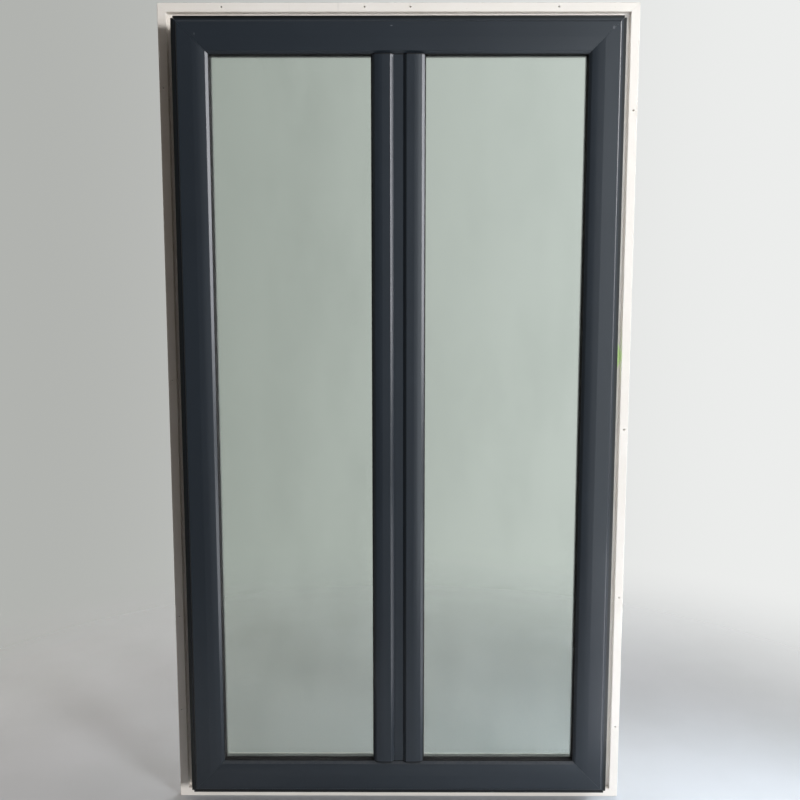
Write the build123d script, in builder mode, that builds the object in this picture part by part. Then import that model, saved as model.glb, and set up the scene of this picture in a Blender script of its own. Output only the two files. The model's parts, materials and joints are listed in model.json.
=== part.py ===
from build123d import *
import os

# Two-light aluminium window with a fixing flange. Millimetres, +X along the sill to the right as
# seen from outside, +Y into the room, +Z up. The origin is on the outward face of the flange rim,
# at the middle of the bottom rim.

# Painted outer frame, measured over its lips
frame_width = 1050.0
frame_height = 1897.0
front_reach = 71.0  # flange rim face to the front of the frame
outer_depth = 51.0
lip_width = 13.0
lip_drop = 8.0
lip_thickness = 3.0
lip_overhang = 6.0
lip_notch = 5.5
lip_radius = 1.2
step_lean = 2.0
step_radius = 4.0
face_width = 65.5
curve_width = 29.5
curve_drop = 3.5
edge_radius = 1.2
reveal_width = 6.0
reveal_drop = 5.5
rebate_depth = 12.5
mitre_gap = 0.2

# Insulating strip and white room-side frame
break_depth = 14.0
break_inset = 2.0
room_edge_radius = 3.0

# White fixing flange
flange_reach = 44.0  # lip edge to the flange's outer edge
rim_width = 21.0
rim_depth = 20.0
rim_radius = 1.5
channel_depth = 16.0
hole_radius = 2.25
hole_inset = 9.5
head_hole_places = (-417.0, -80.0, 28.0, 378.0)
left_holes_from_sill = (192.0, 441.0)
left_holes_from_head = (851.0, 150.0)
right_holes_from_sill = (147.0, 492.0)
right_holes_from_head = (973.0, 203.0)

# Mullion
mullion_face_width = 110.0
mullion_strip_width = 23.0
strip_drop = 7.0
flank_lean = 7.4
flank_radius = 1.5
band_curve_width = 18.0
band_curve_drop = 2.5
joint_gap = 0.3
seal_thickness = 2.5
seal_inset = 0.6

# Glazing
glass_setback = 24.0  # front of the frame to the outer pane
pane_thickness = 4.0
cavity = 14.0
edge_cover = 13.5
sight_reveal = 9.0  # face edge to the sight line
gasket_thickness = 3.0
gasket_rise = 13.5
gasket_nose = 1.0
gasket_tip = 1.5
gasket_seat = 10.0
spacer_height = 7.0
spacer_show = 0.5
inner_gasket_height = 7.0
inner_gasket_drop = 3.0
bead_drop = 1.5
bead_flat = 3.0
bead_toe = 2.0
bead_setback = 6.0
seat_gap = 0.2

# Depth levels
face_y = -front_reach
lip_y = face_y + lip_drop
lip_back_y = lip_y + lip_thickness
strip_y = face_y + strip_drop
inner_edge_y = face_y + curve_drop
band_edge_y = face_y + band_curve_drop
reveal_y = inner_edge_y + reveal_drop
band_reveal_y = band_edge_y + reveal_drop
glass_y = face_y + glass_setback
leg_back_y = glass_y - gasket_thickness
outer_back_y = face_y + outer_depth
inner_front_y = outer_back_y + break_depth
room_y = rim_depth
inner_pane_y = glass_y + pane_thickness + cavity
unit_back_y = inner_pane_y + pane_thickness
bead_front_y = unit_back_y + gasket_thickness
bead_back_y = room_y - bead_setback

# Widths inward from the lip edge, and half widths of the mullion
curve_start = lip_width + face_width - curve_width
inner_edge = lip_width + face_width
wall = inner_edge + reveal_width
rebate_base = inner_edge - rebate_depth
sight_line = inner_edge + sight_reveal
mullion_edge = mullion_face_width / 2
mullion_wall = mullion_edge + reveal_width
mullion_base = mullion_edge - rebate_depth
strip_edge = mullion_strip_width / 2

# Heights and the rectangle of each light inside its sight line
lip_bottom = flange_reach - rim_width / 2
light_width = frame_width / 2 - sight_line - mullion_edge - sight_reveal
light_height = frame_height - 2 * sight_line
light_bottom = lip_bottom + sight_line
light_offset = mullion_edge + sight_reveal + light_width / 2
base_below_sight = sight_line - rebate_base - seat_gap

sides = ("top", "bottom", "left", "right")
lights = {"left": -light_offset, "right": light_offset}

os.makedirs("parts", exist_ok=True)


def corner(outline, across, depth):
    # The outline's corner nearest to a point
    return outline.vertices().sort_by_distance((across, depth))[0]


def ring_member(outline, side, width, height, centre_x, bottom_z):
    # One mitred length of a rectangular ring. The outline's X runs inward from the ring's edge.
    inward, length, reach = {
        "top": (Vector(0, 0, -1), width, height / 2),
        "bottom": (Vector(0, 0, 1), width, height / 2),
        "left": (Vector(1, 0, 0), height, width / 2),
        "right": (Vector(-1, 0, 0), height, width / 2),
    }[side]
    along = inward.cross(Vector(0, 1, 0))
    edge_middle = Vector(centre_x, 0, bottom_z + height / 2) - inward * reach
    with BuildPart() as member:
        with BuildSketch(Plane(origin=edge_middle, x_dir=inward, z_dir=along)):
            add(outline.sketch)
        extrude(amount=length, both=True)
        for end in (-1, 1):
            away = (along * -end - inward).normalized()
            ring_corner = edge_middle + along * (end * length / 2)
            mitre = Plane(origin=ring_corner + away * (mitre_gap / 2), z_dir=away)
            split(bisect_by=mitre, keep=Keep.TOP)
    return member.part


def frame_member(outline, side):
    return ring_member(outline, side, frame_width, frame_height, 0, lip_bottom)


def light_member(outline, side, centre_x):
    return ring_member(outline, side, light_width, light_height, centre_x, light_bottom)


def write(part, name):
    part.label = name
    export_step(part, f"parts/{name}.step")


# Outer frame: low lip, flat face that curves down to the glass, glazing leg and rebate
with BuildSketch() as outer_outline:
    with BuildLine():
        front = Polyline(
            (rebate_base, outer_back_y),
            (lip_overhang, outer_back_y),
            (lip_overhang, lip_back_y),
            (0, lip_back_y),
            (0, lip_y),
            (lip_width - step_lean, lip_y),
            (lip_width, face_y),
            (curve_start, face_y),
        )
        brow = TangentArc(front @ 1, (inner_edge, inner_edge_y), tangent=(1, 0))
        Polyline(
            brow @ 1,
            (wall, reveal_y),
            (wall, leg_back_y),
            (rebate_base, leg_back_y),
            (rebate_base, outer_back_y),
        )
    make_face()
    fillet(corner(outer_outline, 0, lip_y), lip_radius)
    fillet(corner(outer_outline, lip_width, face_y), step_radius)
    fillet(corner(outer_outline, inner_edge, inner_edge_y), edge_radius)

lip_corners = [
    (x, lip_y, lip_bottom + z)
    for x in (-frame_width / 2, frame_width / 2)
    for z in (0, frame_height)
]
for side in sides:
    with BuildPart() as outer_frame:
        add(frame_member(outer_outline, side))
        with Locations(*lip_corners):
            Box(2 * lip_notch, 2 * lip_thickness, 2 * lip_notch, mode=Mode.SUBTRACT)
    write(outer_frame.part, f"outer_frame_{side}")

# Insulating strip between the two halves of the frame
with BuildSketch() as break_outline:
    with BuildLine():
        Polyline(
            (lip_overhang + break_inset, outer_back_y),
            (rebate_base - break_inset, outer_back_y),
            (rebate_base - break_inset, inner_front_y),
            (lip_overhang + break_inset, inner_front_y),
            close=True,
        )
    make_face()

# White room-side frame, rounded at its inner edge
with BuildSketch() as inner_outline:
    with BuildLine():
        Polyline(
            (lip_overhang, inner_front_y),
            (rebate_base, inner_front_y),
            (rebate_base, room_y),
            (lip_overhang, room_y),
            close=True,
        )
    make_face()
    fillet(corner(inner_outline, rebate_base, room_y), room_edge_radius)

# White flange: a rim for the screws and a channel behind it, up to the frame
with BuildSketch() as flange_outline:
    with BuildLine():
        Polyline(
            (-flange_reach, 0),
            (rim_width - flange_reach, 0),
            (rim_width - flange_reach, channel_depth),
            (lip_overhang, channel_depth),
            (lip_overhang, room_y),
            (-flange_reach, room_y),
            close=True,
        )
    make_face()
    fillet(corner(flange_outline, -flange_reach, 0), rim_radius)
    fillet(corner(flange_outline, rim_width - flange_reach, 0), rim_radius)
    fillet(corner(flange_outline, -flange_reach, room_y), rim_radius)

hole_line = flange_reach - hole_inset
jamb_line = frame_width / 2 + hole_line
lip_top = lip_bottom + frame_height
hole_places = {
    "top": [(x, lip_top + hole_line) for x in head_hole_places],
    "bottom": [],
    "left": [(-jamb_line, lip_bottom + up) for up in left_holes_from_sill]
    + [(-jamb_line, lip_top - down) for down in left_holes_from_head],
    "right": [(jamb_line, lip_bottom + up) for up in right_holes_from_sill]
    + [(jamb_line, lip_top - down) for down in right_holes_from_head],
}
for side in sides:
    write(frame_member(break_outline, side), f"thermal_break_{side}")
    write(frame_member(inner_outline, side), f"inner_frame_{side}")
    with BuildPart() as flange:
        add(frame_member(flange_outline, side))
        for x, z in hole_places[side]:
            with Locations(Plane.XZ * Location((x, z))):
                Hole(hole_radius)
    write(flange.part, f"flange_{side}")

# Mullion: two raised bands with a recessed strip between them, drawn in plan
seal_margin = wall + joint_gap
band_margin = seal_margin + seal_thickness
mullion_bottom = lip_bottom + band_margin
mullion_length = frame_height - 2 * band_margin
core_bottom = lip_bottom + rebate_base + joint_gap
core_length = frame_height - 2 * (rebate_base + joint_gap)

with BuildPart() as right_band:
    with BuildSketch(Plane.XY.offset(mullion_bottom)) as band_outline:
        with BuildLine():
            flank = Polyline(
                (mullion_base, outer_back_y),
                (strip_edge, outer_back_y),
                (strip_edge, strip_y),
                (strip_edge + flank_lean, face_y),
                (mullion_edge - band_curve_width, face_y),
            )
            shoulder = TangentArc(flank @ 1, (mullion_edge, band_edge_y), tangent=(1, 0))
            Polyline(
                shoulder @ 1,
                (mullion_wall, band_reveal_y),
                (mullion_wall, leg_back_y),
                (mullion_base, leg_back_y),
                (mullion_base, outer_back_y),
            )
        make_face()
        fillet(corner(band_outline, strip_edge + flank_lean, face_y), flank_radius)
        fillet(corner(band_outline, mullion_edge, band_edge_y), edge_radius)
    extrude(amount=mullion_length)
write(right_band.part, "mullion_right_band")

with BuildPart() as left_band:
    add(right_band.part)
    mirror(about=Plane.YZ, mode=Mode.REPLACE)
write(left_band.part, "mullion_left_band")

with BuildPart() as centre_strip:
    with BuildSketch(Plane.XY.offset(mullion_bottom)):
        with BuildLine():
            Polyline(
                (joint_gap - strip_edge, strip_y),
                (strip_edge - joint_gap, strip_y),
                (strip_edge - joint_gap, outer_back_y),
                (joint_gap - strip_edge, outer_back_y),
                close=True,
            )
        make_face()
    extrude(amount=mullion_length)
write(centre_strip.part, "mullion_centre_strip")

# Thin rubber seal at each end of the bands and strip
with BuildSketch() as seal_outline:
    add(band_outline.sketch_local)
    mirror(about=Plane.YZ)
    with Locations((0, (strip_y + outer_back_y) / 2)):
        Rectangle(mullion_strip_width, outer_back_y - strip_y)
    offset(amount=-seal_inset, kind=Kind.INTERSECTION)

for end, seal_z in (
    ("foot", lip_bottom + seal_margin),
    ("head", lip_top - seal_margin - seal_thickness),
):
    with BuildPart() as end_seal:
        with BuildSketch(Plane.XY.offset(seal_z)):
            add(seal_outline.sketch)
        extrude(amount=seal_thickness)
    write(end_seal.part, f"mullion_{end}_seal")

with BuildPart() as mullion_break:
    with BuildSketch(Plane.XY.offset(core_bottom)):
        with BuildLine():
            Polyline(
                (break_inset - mullion_base, outer_back_y),
                (mullion_base - break_inset, outer_back_y),
                (mullion_base - break_inset, inner_front_y),
                (break_inset - mullion_base, inner_front_y),
                close=True,
            )
        make_face()
    extrude(amount=core_length)
write(mullion_break.part, "mullion_thermal_break")

with BuildPart() as mullion_inner:
    with BuildSketch(Plane.XY.offset(core_bottom)) as mullion_outline:
        with BuildLine():
            Polyline(
                (-mullion_base, inner_front_y),
                (mullion_base, inner_front_y),
                (mullion_base, room_y),
                (-mullion_base, room_y),
                close=True,
            )
        make_face()
        fillet(corner(mullion_outline, mullion_base, room_y), room_edge_radius)
        fillet(corner(mullion_outline, -mullion_base, room_y), room_edge_radius)
    extrude(amount=core_length)
write(mullion_inner.part, "mullion_inner")

# Glazing outlines, with X inward from the sight line
with BuildSketch() as outer_gasket_outline:
    with BuildLine():
        Polyline(
            (-gasket_seat - sight_reveal, glass_y),
            (-gasket_seat - sight_reveal, leg_back_y),
            (reveal_width - sight_reveal, leg_back_y),
            (reveal_width - sight_reveal, glass_y - gasket_rise),
            (reveal_width - sight_reveal + gasket_nose, glass_y - gasket_rise),
            (0, glass_y - gasket_tip),
            (0, glass_y),
            close=True,
        )
    make_face()

with BuildSketch() as spacer_outline:
    with BuildLine():
        Polyline(
            (spacer_show - spacer_height, glass_y + pane_thickness),
            (spacer_show, glass_y + pane_thickness),
            (spacer_show, inner_pane_y),
            (spacer_show - spacer_height, inner_pane_y),
            close=True,
        )
    make_face()

with BuildSketch() as inner_gasket_outline:
    with BuildLine():
        Polyline(
            (-inner_gasket_drop - inner_gasket_height, unit_back_y),
            (-inner_gasket_drop, unit_back_y),
            (-inner_gasket_drop, bead_front_y),
            (-inner_gasket_drop - inner_gasket_height, bead_front_y),
            close=True,
        )
    make_face()

# Glazing bead, bevelled down towards the room
with BuildSketch() as bead_outline:
    with BuildLine():
        Polyline(
            (-base_below_sight, bead_front_y),
            (-bead_drop, bead_front_y),
            (-bead_drop, bead_front_y + bead_flat),
            (bead_toe - base_below_sight, bead_back_y),
            (-base_below_sight, bead_back_y),
            close=True,
        )
    make_face()

for light, centre_x in lights.items():
    for pane, pane_y in (("outer_pane", glass_y), ("inner_pane", inner_pane_y)):
        with BuildPart() as glass:
            with BuildSketch(Plane.XZ.offset(-pane_y)):
                with Locations((centre_x, light_bottom + light_height / 2)):
                    Rectangle(light_width + 2 * edge_cover, light_height + 2 * edge_cover)
            extrude(amount=-pane_thickness)
        write(glass.part, f"{light}_{pane}")

    for strip, outline in (
        ("outer_gasket", outer_gasket_outline),
        ("spacer", spacer_outline),
        ("inner_gasket", inner_gasket_outline),
    ):
        with BuildPart() as strips:
            for side in sides:
                add(light_member(outline, side, centre_x))
        write(strips.part, f"{light}_{strip}")

    for side in sides:
        write(light_member(bead_outline, side, centre_x), f"{light}_bead_{side}")
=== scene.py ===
import bpy
import bmesh
import json
import math
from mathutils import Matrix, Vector


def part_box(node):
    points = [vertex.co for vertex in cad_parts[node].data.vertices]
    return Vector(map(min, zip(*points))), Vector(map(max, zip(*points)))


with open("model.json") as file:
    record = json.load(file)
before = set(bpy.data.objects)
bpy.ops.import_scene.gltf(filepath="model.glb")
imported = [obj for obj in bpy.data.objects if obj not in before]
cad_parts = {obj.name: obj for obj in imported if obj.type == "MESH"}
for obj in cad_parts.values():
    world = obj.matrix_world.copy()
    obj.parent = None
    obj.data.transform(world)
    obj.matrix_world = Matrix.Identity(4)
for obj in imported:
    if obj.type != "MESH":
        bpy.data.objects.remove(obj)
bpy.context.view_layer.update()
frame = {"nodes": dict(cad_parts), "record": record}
nodes = frame["nodes"]
print("frame loaded:", len(nodes), "nodes")

# places on the window, read from the frame
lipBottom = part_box("outer_frame_bottom")[0].z
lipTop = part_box("outer_frame_top")[1].z
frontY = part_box("outer_frame_left")[0].y
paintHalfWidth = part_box("outer_frame_right")[1].x
paintHalfHeight = (lipTop - lipBottom) / 2
paintMiddle = (lipTop + lipBottom) / 2
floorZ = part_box("flange_bottom")[0].z
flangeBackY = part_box("flange_right")[1].y
spacerLow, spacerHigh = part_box("left_spacer")


# node helpers

def addNode(tree, kind, inputs=None, **settings):
    node = tree.nodes.new("ShaderNode" + kind)
    for key, value in settings.items():
        setattr(node, key, value)
    setSockets(tree, node, inputs or {})
    return node


def setSockets(tree, node, values):
    for key, value in values.items():
        if isinstance(value, bpy.types.NodeSocket):
            tree.links.new(value, node.inputs[key])
        else:
            node.inputs[key].default_value = value


def sums(tree, operation, first, second=0.0):
    return addNode(tree, "Math", {0: first, 1: second}, operation=operation).outputs[0]


def fade(tree, value, start, end, low=0.0, high=1.0):
    # soft step of a value, from low at start to high at end
    return addNode(tree, "MapRange", {0: value, 1: start, 2: end, 3: low, 4: high},
                   interpolation_type="SMOOTHSTEP").outputs[0]


def clouds(tree, place, scale, detail=3.0, stretch=None):
    # noise in cycles per metre, drawn out along an axis by a small stretch value
    if stretch:
        place = addNode(tree, "Mapping", {"Vector": place, "Scale": stretch}).outputs[0]
    return addNode(tree, "TexNoise", {"Vector": place, "Scale": scale, "Detail": detail}).outputs[0]


def tint(tree, amount, under, over):
    mix = addNode(tree, "Mix", {0: amount, 6: under, 7: over}, data_type="RGBA")
    return mix.outputs[2]


def relief(tree, height, depth, strength):
    bump = addNode(tree, "Bump", {"Height": height, "Distance": depth, "Strength": strength})
    return bump.outputs[0]


def split(tree, vector):
    return addNode(tree, "SeparateXYZ", {0: vector}).outputs


def startMaterial(name):
    material = bpy.data.materials.new(name)
    material.use_nodes = True
    tree = material.node_tree
    place = addNode(tree, "TexCoord").outputs["Object"]
    return material, tree, tree.nodes["Principled BSDF"], place


ledgeRange = (0.25, 0.9)  # how far a face looks up before dust lies on it


def upward(tree):
    # 1 on faces that look up
    normal = addNode(tree, "NewGeometry").outputs["Normal"]
    return fade(tree, split(tree, normal)["Z"], *ledgeRange)


# anthracite coat of the outer frame and mullion

paintLook = {
    "dark": (0.0126, 0.0170, 0.0230, 1), "light": (0.0142, 0.0192, 0.0260, 1),
    "broadScale": 3.2, "broadRange": (0.3, 0.7),
    "smudgeScale": 14, "smudgeRange": (0.35, 0.7), "roughLow": 0.28, "roughHigh": 0.30, "gloss": 0.5,
    "edgeShadeWidth": 0.0072, "edgeShadeSoft": 0.0003,
    "edgeShadeColour": (0.002, 0.0025, 0.0025, 1),  # painted shade: a near-black band round the lip, standing in for the shadow at its edge
    "dust": (0.10, 0.098, 0.094, 1), "dustLeast": 0.25, "dustMost": 0.30, "dustRough": 0.2,
    "dustScale": 160, "dustRange": (0.3, 0.75),
    "mark": (0.20, 0.21, 0.23, 1), "markEdge": (1.0, 0.35),
    "markScale": 900, "markRange": (0.25, 0.7), "markLeast": 0.4,
    "marks": [  # place on the front, half length, half height, strength
        (-0.016, 1.9062, 0.0036, 0.0013, 0.8), (0.494, 1.9015, 0.0040, 0.0052, 0.6),
        (-0.469, 1.8885, 0.0022, 0.0042, 0.35)],
    "peelScale": 620.0, "peelDepth": 0.00003, "peelStrength": 0.5,
}


def markMask(tree, place, mark, edge):
    x, z, halfLength, halfHeight, strength = mark
    offset = addNode(tree, "VectorMath", {0: place, 1: (x, frontY, z)}, operation="SUBTRACT").outputs[0]
    shrink = (1 / halfLength, 1 / halfLength, 1 / halfHeight)
    ratio = addNode(tree, "VectorMath", {0: offset, 1: shrink}, operation="MULTIPLY").outputs[0]
    far = addNode(tree, "VectorMath", {0: ratio}, operation="LENGTH").outputs["Value"]
    return fade(tree, far, *edge, 0.0, strength)


def makePaint(look):
    material, tree, shader, place = startMaterial("anthraciteCoat")
    axes = split(tree, place)
    broad = clouds(tree, place, look["broadScale"], detail=2)
    smudge = clouds(tree, place, look["smudgeScale"])
    colour = tint(tree, fade(tree, broad, *look["broadRange"]), look["dark"], look["light"])
    # fine pale dust lying on ledges
    patchy = clouds(tree, place, look["dustScale"], detail=5)
    lying = sums(tree, "MULTIPLY", upward(tree),
                 fade(tree, patchy, *look["dustRange"], look["dustLeast"], 1))
    colour = tint(tree, sums(tree, "MULTIPLY", lying, look["dustMost"]), colour, look["dust"])
    # small rubbed marks
    rubbed = None
    for mark in look["marks"]:
        mask = markMask(tree, place, mark, look["markEdge"])
        rubbed = mask if rubbed is None else sums(tree, "MAXIMUM", rubbed, mask)
    worn = clouds(tree, place, look["markScale"], detail=2)
    rubbed = sums(tree, "MULTIPLY", rubbed, fade(tree, worn, *look["markRange"], look["markLeast"], 1))
    colour = tint(tree, rubbed, colour, look["mark"])
    # painted shade along the lip's outer edge: the outer band of paint is made near black where the lip
    # falls into shadow
    acrossX = sums(tree, "SUBTRACT", sums(tree, "ABSOLUTE", axes["X"]),
                   paintHalfWidth - look["edgeShadeWidth"])
    fromMiddle = sums(tree, "ABSOLUTE", sums(tree, "SUBTRACT", axes["Z"], paintMiddle))
    acrossZ = sums(tree, "SUBTRACT", fromMiddle, paintHalfHeight - look["edgeShadeWidth"])
    outward = sums(tree, "MAXIMUM", acrossX, acrossZ)
    paintedEdgeShade = fade(tree, outward, -look["edgeShadeSoft"], look["edgeShadeSoft"])
    colour = tint(tree, paintedEdgeShade, colour, look["edgeShadeColour"])
    rough = fade(tree, smudge, *look["smudgeRange"], look["roughLow"], look["roughHigh"])
    rough = sums(tree, "ADD", rough, sums(tree, "MULTIPLY", lying, look["dustRough"]))
    peel = clouds(tree, place, look["peelScale"], detail=1)
    setSockets(tree, shader, {
        "Base Color": colour, "Roughness": rough, "Specular IOR Level": look["gloss"],
        "Normal": relief(tree, peel, look["peelDepth"], look["peelStrength"])})
    return material


# white coat: the handled flange, and the clean room side

flangeLook = {
    "clean": (0.80, 0.77, 0.735, 1), "yellowed": (0.77, 0.735, 0.69, 1),
    "broadScale": 5, "broadRange": (0.35, 0.75), "patchScale": 42,
    "grimeAndShade": (0.46, 0.435, 0.40, 1), "grimeAndShadeMost": 0.10, "grimeRange": (0.35, 0.75),
    "channelStart": 0.002, "channelShare": 0.7,  # depth over which grime and painted shade set in
    "scuff": (0.42, 0.41, 0.39, 1), "scuffMost": 0.25,
    "scuffScale": 60, "scuffStretch": 0.12, "scuffRange": (0.66, 0.78),
    "speckScale": 120, "speckSize": (0.10, 0.05), "speckRange": (0.5, 0.62),
    "smear": (0.64, 0.87, 0.38, 1), "smearEdge": (-0.15, 0.35),
    "smearZ": 1.140, "smearHalf": 0.037, "smearX": 0.539, "smearReach": 0.0105,
    "smearSide": (0.50, 0.51), "smearBack": (0.002, 0.003),  # right side only, in front of the back face
    "smearScale": 240, "smearRange": (0.2, 0.55), "smearLeast": 0.7,
    "roughRange": (0.3, 0.7), "roughLow": 0.42, "roughHigh": 0.62, "gloss": 0.45,
    "grainScale": 800, "grainDepth": 0.00005, "grainStrength": 0.4,
}


def smearMask(tree, place, axes, look):
    along = sums(tree, "DIVIDE", sums(tree, "SUBTRACT", axes["Z"], look["smearZ"]), look["smearHalf"])
    bulge = sums(tree, "SUBTRACT", 1.0, sums(tree, "MULTIPLY", along, along))
    reach = sums(tree, "DIVIDE", sums(tree, "SUBTRACT", axes["X"], look["smearX"]), look["smearReach"])
    smear = fade(tree, sums(tree, "SUBTRACT", bulge, reach), *look["smearEdge"])
    smear = sums(tree, "MULTIPLY", smear, fade(tree, axes["X"], *look["smearSide"]))
    backFrom, backTo = look["smearBack"]
    smear = sums(tree, "MULTIPLY", smear,
                 fade(tree, axes["Y"], flangeBackY - backFrom, flangeBackY - backTo))
    streaky = clouds(tree, place, look["smearScale"])
    return sums(tree, "MULTIPLY", smear, fade(tree, streaky, *look["smearRange"], look["smearLeast"], 1))


def makeFlangeWhite(look):
    material, tree, shader, place = startMaterial("handledWhiteCoat")
    axes = split(tree, place)
    broad = clouds(tree, place, look["broadScale"], detail=5)
    patchy = clouds(tree, place, look["patchScale"], detail=6)
    colour = tint(tree, fade(tree, broad, *look["broadRange"]), look["clean"], look["yellowed"])
    # patchy grime, with painted shade growing darker deeper in the channel behind the rim
    recessShade = fade(tree, axes["Y"], look["channelStart"], flangeBackY * look["channelShare"])
    grimeAndShade = sums(tree, "MULTIPLY", recessShade, fade(tree, patchy, *look["grimeRange"], 0.0, look["grimeAndShadeMost"]))
    colour = tint(tree, grimeAndShade, colour, look["grimeAndShade"])
    # short scuffs along both directions
    drawn = look["scuffStretch"]
    across = clouds(tree, place, look["scuffScale"], detail=4, stretch=(drawn, 1, 1))
    upDown = clouds(tree, place, look["scuffScale"], detail=4, stretch=(1, 1, drawn))
    scuff = fade(tree, sums(tree, "MAXIMUM", across, upDown), *look["scuffRange"], 0, look["scuffMost"])
    colour = tint(tree, scuff, colour, look["scuff"])
    specks = addNode(tree, "TexVoronoi", {"Vector": place, "Scale": look["speckScale"]}).outputs["Distance"]
    speck = sums(tree, "MULTIPLY", fade(tree, specks, *look["speckSize"]),
                 fade(tree, patchy, *look["speckRange"]))
    colour = tint(tree, speck, colour, look["grimeAndShade"])
    # green marker smear in the right channel
    colour = tint(tree, smearMask(tree, place, axes, look), colour, look["smear"])
    grain = clouds(tree, place, look["grainScale"], detail=2)
    setSockets(tree, shader, {
        "Base Color": colour, "Specular IOR Level": look["gloss"],
        "Roughness": fade(tree, patchy, *look["roughRange"], look["roughLow"], look["roughHigh"]),
        "Normal": relief(tree, grain, look["grainDepth"], look["grainStrength"])})
    return material


roomLook = {
    "warm": (0.79, 0.78, 0.75, 1), "cool": (0.82, 0.82, 0.80, 1), "toneScale": 4, "toneRange": (0.3, 0.7),
    "dust": (0.55, 0.53, 0.49, 1), "dustLeast": 0.05, "dustMost": 0.45,
    "dustScale": 130, "dustRange": (0.4, 0.8),
    "roughScale": 30, "roughRange": (0.35, 0.7), "roughLow": 0.30, "roughHigh": 0.42, "gloss": 0.5,
    "grainScale": 650, "grainDepth": 0.00005, "grainStrength": 0.4,
}


def makeRoomWhite(look):
    material, tree, shader, place = startMaterial("satinWhiteCoat")
    tone = clouds(tree, place, look["toneScale"], detail=4)
    colour = tint(tree, fade(tree, tone, *look["toneRange"]), look["warm"], look["cool"])
    patchy = clouds(tree, place, look["dustScale"], detail=5)
    dust = sums(tree, "MULTIPLY", upward(tree),
                fade(tree, patchy, *look["dustRange"], look["dustLeast"], look["dustMost"]))
    colour = tint(tree, dust, colour, look["dust"])
    handled = clouds(tree, place, look["roughScale"], detail=5)
    grain = clouds(tree, place, look["grainScale"], detail=1)
    setSockets(tree, shader, {
        "Base Color": colour, "Specular IOR Level": look["gloss"],
        "Roughness": fade(tree, handled, *look["roughRange"], look["roughLow"], look["roughHigh"]),
        "Normal": relief(tree, grain, look["grainDepth"], look["grainStrength"])})
    return material


# black insulating strips and rubber

stripLook = {
    "black": (0.016, 0.016, 0.017, 1), "grey": (0.035, 0.034, 0.033, 1),
    "fibreScale": 500, "fibreStretch": (1, 1, 0.2), "fibreRange": (0.4, 0.7),
    "fibreDepth": 0.00008, "fibreStrength": 0.5,
    "roughScale": 70, "roughRange": (0.3, 0.7), "roughLow": 0.55, "roughHigh": 0.75,
}


def makePolyamide(look):
    material, tree, shader, place = startMaterial("insulatingBlack")
    fibres = clouds(tree, place, look["fibreScale"], detail=4, stretch=look["fibreStretch"])
    matt = clouds(tree, place, look["roughScale"], detail=4)
    setSockets(tree, shader, {
        "Base Color": tint(tree, fade(tree, fibres, *look["fibreRange"]), look["black"], look["grey"]),
        "Roughness": fade(tree, matt, *look["roughRange"], look["roughLow"], look["roughHigh"]),
        "Normal": relief(tree, fibres, look["fibreDepth"], look["fibreStrength"])})
    return material


rubberLook = {
    "black": (0.006, 0.006, 0.0065, 1), "worn": (0.013, 0.0125, 0.0125, 1),
    "mottleScale": 90, "mottleRange": (0.35, 0.7),
    "dust": (0.018, 0.017, 0.016, 1), "dustLeast": 0.1, "dustMost": 0.5,
    "dustScale": 210, "dustRange": (0.35, 0.8),
    "roughRange": (0.3, 0.7), "roughLow": 0.55, "roughHigh": 0.72, "gloss": 0.2,
    "grainScale": 1200, "grainDepth": 0.00005, "grainStrength": 0.4,
}


def makeRubber(look):
    material, tree, shader, place = startMaterial("glazingRubber")
    mottled = clouds(tree, place, look["mottleScale"], detail=5)
    colour = tint(tree, fade(tree, mottled, *look["mottleRange"]), look["black"], look["worn"])
    patchy = clouds(tree, place, look["dustScale"], detail=4)
    dust = sums(tree, "MULTIPLY", upward(tree),
                fade(tree, patchy, *look["dustRange"], look["dustLeast"], look["dustMost"]))
    colour = tint(tree, dust, colour, look["dust"])
    grain = clouds(tree, place, look["grainScale"], detail=2)
    setSockets(tree, shader, {
        "Base Color": colour, "Specular IOR Level": look["gloss"],
        "Roughness": fade(tree, mottled, *look["roughRange"], look["roughLow"], look["roughHigh"]),
        "Normal": relief(tree, grain, look["grainDepth"], look["grainStrength"])})
    return material


# spacer bar between the panes, with its rows of breathing holes

spacerLook = {
    "bright": (0.30, 0.295, 0.30, 1), "dull": (0.20, 0.198, 0.202, 1),
    "brushScale": 300, "brushStretch": (0.1, 1, 0.1), "brushRange": (0.3, 0.7),
    "roughLow": 0.28, "roughHigh": 0.42,
    "hole": (0.05, 0.05, 0.05, 1), "holeDepth": 0.0003, "holeStrength": 0.6,
    "pitch": 0.005, "holeLength": 0.45, "holeSoft": 0.12,  # length and soft end as shares of the pitch
    "rowOffset": 0.0030, "rowHalf": 0.0005, "rowSoft": 0.5,
}


def makeSpacer(look):
    material, tree, shader, place = startMaterial("spacerAluminium")
    axes = split(tree, place)
    brushed = clouds(tree, place, look["brushScale"], stretch=look["brushStretch"])
    colour = tint(tree, fade(tree, brushed, *look["brushRange"]), look["dull"], look["bright"])
    along = sums(tree, "DIVIDE", sums(tree, "ADD", axes["X"], axes["Z"]), look["pitch"])
    slot = fade(tree, sums(tree, "FRACT", along), look["holeLength"], look["holeLength"] - look["holeSoft"])
    middle = (spacerLow.y + spacerHigh.y) / 2
    fromMiddle = sums(tree, "ABSOLUTE", sums(tree, "SUBTRACT", axes["Y"], middle))
    fromRow = sums(tree, "ABSOLUTE", sums(tree, "SUBTRACT", fromMiddle, look["rowOffset"]))
    inRow = fade(tree, fromRow, look["rowHalf"], look["rowHalf"] * look["rowSoft"])
    hole = sums(tree, "MULTIPLY", slot, inRow)
    sunk = sums(tree, "SUBTRACT", 0.0, hole)
    setSockets(tree, shader, {
        "Base Color": tint(tree, hole, colour, look["hole"]), "Metallic": 1.0,
        "Roughness": fade(tree, brushed, *look["brushRange"], look["roughLow"], look["roughHigh"]),
        "Normal": relief(tree, sunk, look["holeDepth"], look["holeStrength"])})
    return material


# float glass

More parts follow.
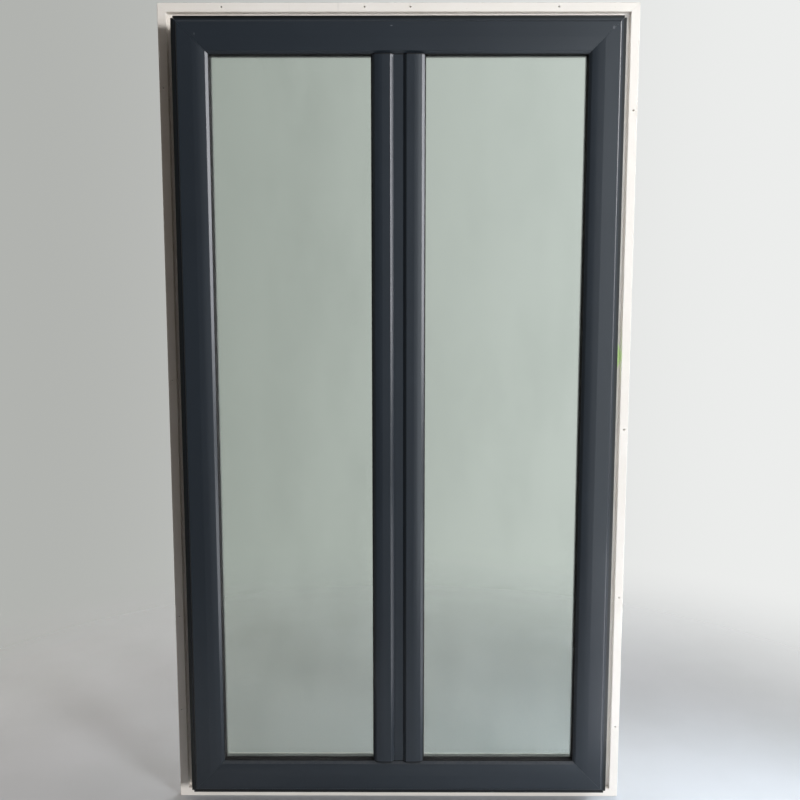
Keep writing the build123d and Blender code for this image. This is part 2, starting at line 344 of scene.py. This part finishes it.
glassLook = {
    "clear": (0.82, 0.858, 0.826, 1), "hazy": (0.79, 0.828, 0.796, 1),
    "streakScale": 7, "streakStretch": (1, 1, 0.35), "streakRange": (0.4, 0.75),
    "wipeScale": 18, "wipeRange": (0.5, 0.8), "wipeRough": 0.03, "ior": 1.5,
}


def makeGlass(look):
    material, tree, shader, place = startMaterial("floatGlass")
    streaks = clouds(tree, place, look["streakScale"], detail=5, stretch=look["streakStretch"])
    wiped = clouds(tree, place, look["wipeScale"], detail=6)
    setSockets(tree, shader, {
        "Base Color": tint(tree, fade(tree, streaks, *look["streakRange"]), look["clear"], look["hazy"]),
        "Roughness": fade(tree, wiped, *look["wipeRange"], 0.0, look["wipeRough"]),
        "Transmission Weight": 1.0, "IOR": look["ior"]})
    return material


finishes = {
    "anthracite_paint": makePaint(paintLook),
    "white_flange": makeFlangeWhite(flangeLook),
    "white_paint": makeRoomWhite(roomLook),
    "black_polyamide": makePolyamide(stripLook),
    "black_gasket": makeRubber(rubberLook),
    "spacer_aluminium": makeSpacer(spacerLook),
    "clear_glass": makeGlass(glassLook),
}
for entry in frame["record"]["subparts"]:
    node = nodes[entry["node"]]
    node.material_slots[0].material = finishes[entry["material_slot"]]
    if entry["material_slot"] == "clear_glass":
        node.visible_shadow = False  # lamps shine through the panes
print("finishes made:", len(finishes))


# floor, background and lamps

floorLook = {
    "radius": 6.0, "rings": 24, "sides": 96,
    "colour": (0.49, 0.515, 0.55, 1), "speckled": (0.465, 0.49, 0.52, 1),
    "patchScale": 3, "patchRange": (0.35, 0.7), "rough": 0.85, "gloss": 0.2,
    "fadeFrom": 0.9, "fadeTo": 2.4,
}


def floorMesh(look):
    mesh = bpy.data.meshes.new("studioFloor")
    shape = bmesh.new()
    middle = shape.verts.new((0, 0, floorZ))
    last = None
    for ring in range(1, look["rings"] + 1):
        radius = look["radius"] * ring / look["rings"]
        row = []
        for side in range(look["sides"]):
            angle = 2 * math.pi * side / look["sides"]
            row.append(shape.verts.new((radius * math.cos(angle), radius * math.sin(angle), floorZ)))
        for side in range(look["sides"]):
            after = (side + 1) % look["sides"]
            if last is None:
                shape.faces.new((middle, row[side], row[after]))
            else:
                shape.faces.new((last[side], row[side], row[after], last[after]))
        last = row
    shape.to_mesh(mesh)
    shape.free()
    return mesh


def makeFloor(look):
    floor = bpy.data.objects.new("studioFloor", floorMesh(look))
    bpy.context.scene.collection.objects.link(floor)
    material, tree, shader, place = startMaterial("paleFloor")
    patchy = clouds(tree, place, look["patchScale"], detail=5)
    setSockets(tree, shader, {
        "Base Color": tint(tree, fade(tree, patchy, *look["patchRange"]), look["colour"], look["speckled"]),
        "Roughness": look["rough"], "Specular IOR Level": look["gloss"]})
    # the floor thins out into the background far from the window
    away = addNode(tree, "VectorMath", {0: place}, operation="LENGTH").outputs["Value"]
    clear = addNode(tree, "BsdfTransparent")
    mix = addNode(tree, "MixShader", {0: fade(tree, away, look["fadeFrom"], look["fadeTo"]),
                                      1: shader.outputs[0], 2: clear.outputs[0]})
    tree.links.new(mix.outputs[0], tree.nodes["Material Output"].inputs["Surface"])
    floor.data.materials.append(material)
    return floor


makeFloor(floorLook)

worldLook = {
    "leftTone": (0.44, 0.45, 0.43, 1), "rightTone": (0.84, 0.85, 0.84, 1), "spread": 0.36,
    "frontLeft": (0.60, 0.62, 0.62, 1), "frontShade": (0.10, 0.108, 0.116, 1),
    "frontRight": (0.92, 0.96, 1.0, 1), "frontFrom": -0.2, "frontTo": 0.45, "turn": 0.45,
    "highBand": (0.60, 0.62, 0.66, 1), "highRange": (0.70, 0.80),
    "ceiling": (0.16, 0.17, 0.18, 1), "ceilingRange": (0.88, 0.95),
    "ambient": (1.0, 0.82, 0.65, 1), "ambientStrength": 0.085,
}


def makeWorld(look):
    world = bpy.data.worlds.new("studio")
    bpy.context.scene.world = world
    world.use_nodes = True
    tree = world.node_tree
    tree.nodes.clear()
    axes = split(tree, addNode(tree, "TexCoord").outputs["Generated"])
    sideways = fade(tree, axes["X"], -look["spread"], look["spread"])
    behind = tint(tree, sideways, look["leftTone"], look["rightTone"])
    # the camera's side, where gloss sees a dark card on the left
    rays = addNode(tree, "LightPath").outputs
    mirrored = sums(tree, "SUBTRACT", rays["Is Glossy Ray"], rays["Is Transmission Ray"])
    mirrored = sums(tree, "MAXIMUM", mirrored, 0.0)
    toLight = fade(tree, axes["X"], look["frontFrom"], look["frontTo"])
    shaded = tint(tree, mirrored, look["frontLeft"], look["frontShade"])
    before = tint(tree, toLight, shaded, look["frontRight"])
    tone = tint(tree, fade(tree, axes["Y"], -look["turn"], look["turn"]), before, behind)
    # a pale band high up, which the sill's inner slope mirrors, and a dark ceiling
    tone = tint(tree, fade(tree, axes["Z"], *look["highRange"]), tone, look["highBand"])
    tone = tint(tree, fade(tree, axes["Z"], *look["ceilingRange"]), tone, look["ceiling"])
    seen = addNode(tree, "Background", {"Color": tone, "Strength": 1.0})
    soft = addNode(tree, "Background", {"Color": look["ambient"], "Strength": look["ambientStrength"]})
    direct = sums(tree, "MAXIMUM", rays["Is Camera Ray"], rays["Is Glossy Ray"])
    direct = sums(tree, "MAXIMUM", direct, rays["Is Transmission Ray"])
    mix = addNode(tree, "MixShader", {0: direct, 1: soft.outputs[0], 2: seen.outputs[0]})
    output = addNode(tree, "OutputWorld")
    tree.links.new(mix.outputs[0], output.inputs["Surface"])


makeWorld(worldLook)

# each panel either lights the surfaces or shows in their gloss; spread is in degrees
lamps = {
    "keyPanel": {"place": (15.9, -17.6, 4.4), "aim": (0.0, 0.0, 1.0), "size": (5.0, 4.6),
                 "watts": 4750, "colour": (1.0, 0.985, 0.97), "lights": "diffuse"},
    "nearPanel": {"place": (0.62, -1.30, 1.60), "aim": (0.62, 0.0, 1.60), "size": (0.3, 2.4),
                  "watts": 5.5, "colour": (0.92, 0.97, 1.0), "lights": "diffuse"},
    "headPanel": {"place": (0.95, -1.40, 1.74), "aim": (0.40, 0.0, 1.90), "size": (1.2, 0.25),
                  "watts": 6.5, "colour": (0.92, 0.97, 1.0), "lights": "diffuse"},
    "floorPanel": {"place": (1.40, -0.12, 1.30), "aim": (0.78, -0.62, 0.0), "size": (0.8, 0.8),
                   "watts": 9.5, "colour": (0.86, 0.93, 1.0), "lights": "diffuse", "spread": 90},
    "sheenPanel": {"place": (5.7, -4.0, 3.2), "aim": (0.0, 0.0, 1.0), "size": (1.8, 2.0),
                   "watts": 300, "colour": (1.0, 0.985, 0.97), "lights": "gloss"},
    "edgePanel": {"place": (4.5, -0.92, 1.9), "aim": (0.0, -0.1, 1.3), "size": (1.55, 2.6),
                  "watts": 150, "colour": (0.95, 0.95, 1.0), "lights": "gloss"},
    "lowPanel": {"place": (0.66, -0.30, 0.30), "aim": (0.0, -0.16, 0.36), "size": (0.3, 0.6),
                 "watts": 2.3, "colour": (0.95, 0.95, 1.0), "lights": "gloss"},
    "frontPanel": {"place": (1.75, -2.90, 1.05), "aim": (0.25, 0.0, 1.05), "size": (1.6, 3.4),
                   "watts": 27, "colour": (0.87, 0.95, 1.0), "lights": "gloss"},
    "topPanel": {"place": (0.3, -1.2, 4.0), "aim": (0.0, 0.0, 1.0), "size": (2.4, 2.0),
                 "watts": 7, "colour": (1.0, 1.0, 1.0), "lights": "diffuse"},
    "backPanel": {"place": (1.4, 3.5, 2.6), "aim": (0.0, 0.0, 0.9), "size": (2.6, 2.2),
                  "watts": 135, "colour": (1.0, 0.99, 0.97), "lights": "diffuse"},
    "leftPanel": {"place": (-2.8, 1.5, 1.9), "aim": (0.0, 0.0, 1.0), "size": (1.8, 2.0),
                  "watts": 40, "colour": (1.0, 0.85, 0.71), "lights": "diffuse"},
}


def addLamp(name, look):
    lamp = bpy.data.lights.new(name, "AREA")
    lamp.shape = "RECTANGLE"
    lamp.size, lamp.size_y = look["size"]
    lamp.energy = look["watts"]
    lamp.color = look["colour"]
    lamp.spread = math.radians(look.get("spread", 180))
    panel = bpy.data.objects.new(name, lamp)
    bpy.context.scene.collection.objects.link(panel)
    panel.location = look["place"]
    toAim = Vector(look["aim"]) - Vector(look["place"])
    panel.rotation_euler = toAim.to_track_quat("-Z", "Y").to_euler()
    panel.visible_camera = False
    panel.visible_transmission = False
    panel.visible_diffuse = look["lights"] == "diffuse"
    panel.visible_glossy = look["lights"] == "gloss"


for lampName, lampLook in lamps.items():
    addLamp(lampName, lampLook)
print("floor, background and", len(lamps), "lamps placed")

# camera at the photograph's place

cameraLook = {"lens": 45.16, "sensor": 36.0, "side": 0.0135, "standOff": 2.391, "aboveLip": 1.3221,
              "tilt": 7.4995, "turn": 0.2343}
camera = bpy.data.cameras.new("photoCamera")
camera.lens = cameraLook["lens"]
camera.sensor_width = cameraLook["sensor"]
cameraObject = bpy.data.objects.new("photoCamera", camera)
bpy.context.scene.collection.objects.link(cameraObject)
cameraObject.location = (cameraLook["side"], frontY - cameraLook["standOff"],
                         lipBottom + cameraLook["aboveLip"])
cameraObject.rotation_euler = (math.radians(90 - cameraLook["tilt"]), 0, math.radians(cameraLook["turn"]))
bpy.context.scene.camera = cameraObject
bpy.context.scene.view_settings.view_transform = "Standard"
print("camera placed")
